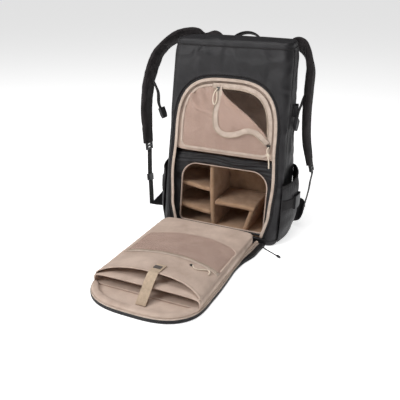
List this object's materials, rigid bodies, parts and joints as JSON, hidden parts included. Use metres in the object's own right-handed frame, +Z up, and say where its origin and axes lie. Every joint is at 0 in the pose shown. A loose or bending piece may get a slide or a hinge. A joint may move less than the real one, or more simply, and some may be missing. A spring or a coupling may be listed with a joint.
{
  "type": "camera backpack",
  "caption": "Front-opening camera backpack standing on its base, its padded front panel folded down and its divided pod and net-covered upper space open.",
  "frame": {"origin": "centre of the pack's base, on the floor", "axes": "+Z up, +Y towards the wearer's back, +X to the pack's right as seen from its open front; the folded-down panel lies towards -Y"},
  "size_m": [0.4856, 0.6706, 0.5224],
  "materials": {
    "nylon": "matte woven nylon",
    "webbing": "ribbed polyester webbing",
    "padding": "air mesh over foam",
    "lining": "fine woven lining",
    "binding": "woven binding and zip tape",
    "net": "knitted net",
    "foam": "brushed cloth over foam",
    "hook": "hook and loop tape",
    "plastic": "moulded",
    "slider": "coated zip slider"
  },
  "bodies": {
    "root": {"base_panel": "nylon", "top_panel": "nylon", "front_frame": "nylon", "back_wall": "nylon", "side_wall_left": "nylon", "side_wall_right": "nylon", "opening_zip": "webbing", "opening_binding": "binding", "upper_liner": "lining", "mesh_cover": "net", "mesh_flap": "net", "mesh_piping": "binding", "liner_zip_tape": "binding", "flap_zip_tape": "binding", "upper_zip_slider": "slider", "upper_zip_pull": "binding", "lower_zip_slider": "slider", "lower_zip_pull": "binding", "pod_box": "foam", "pod_frame": "nylon", "divider_main": "foam", "divider_left_1": "foam", "divider_left_2": "foam", "divider_right_shelf": "foam", "divider_slanted": "foam", "panel_shell": "nylon", "panel_hinge": "nylon", "panel_rim": "lining", "panel_lining": "lining", "panel_sleeve": "lining", "slip_pocket": "lining", "net_pocket": "net", "net_pocket_zip": "binding", "closure_strap": "hook", "plain_tab": "plastic", "back_pad": "padding", "shoulder_pad_left": "padding", "shoulder_pad_right": "padding", "ladder_lock_left": "plastic", "ladder_lock_right": "plastic", "lower_webbing_left": "webbing", "lower_webbing_right": "webbing", "strap_wing_left": "webbing", "strap_wing_right": "webbing", "side_pocket_left": "nylon", "side_pocket_right": "nylon", "side_strap_left": "webbing", "side_strap_right": "webbing", "side_buckle_left": "plastic", "side_buckle_right": "plastic", "upper_strap_left": "webbing", "upper_strap_right": "webbing", "upper_buckle_left": "plastic", "upper_buckle_right": "plastic", "chest_webbing_left": "webbing", "chest_webbing_right": "webbing", "chest_buckle_left": "plastic", "chest_buckle_right": "plastic", "grab_handle": "webbing"}
  },
  "joints": []
}
